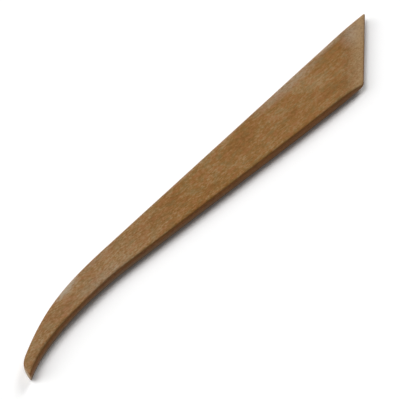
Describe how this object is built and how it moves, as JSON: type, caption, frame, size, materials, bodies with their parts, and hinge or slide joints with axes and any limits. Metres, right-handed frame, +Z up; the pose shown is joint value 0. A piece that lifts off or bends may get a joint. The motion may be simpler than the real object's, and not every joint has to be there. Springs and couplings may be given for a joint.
{
  "type": "wooden clay modelling tool",
  "caption": "Flat wooden modelling tool: a tapering handle with a broad skew-cut blade at one end and a slender hooked point at the other.",
  "frame": {"origin": "centre of the bounding box's bottom face, on the surface that the tool lies on", "axes": "+X along the handle's centre line towards the blade, +Y across the tool towards the outside of the hook, +Z up, square to the faces"},
  "size_m": [0.2032, 0.0274, 0.0063],
  "materials": {
    "oiled_hardwood": "stained and oiled, sanded to a satin sheen"
  },
  "bodies": {
    "root": {"modelling_tool": "oiled_hardwood"}
  },
  "joints": []
}
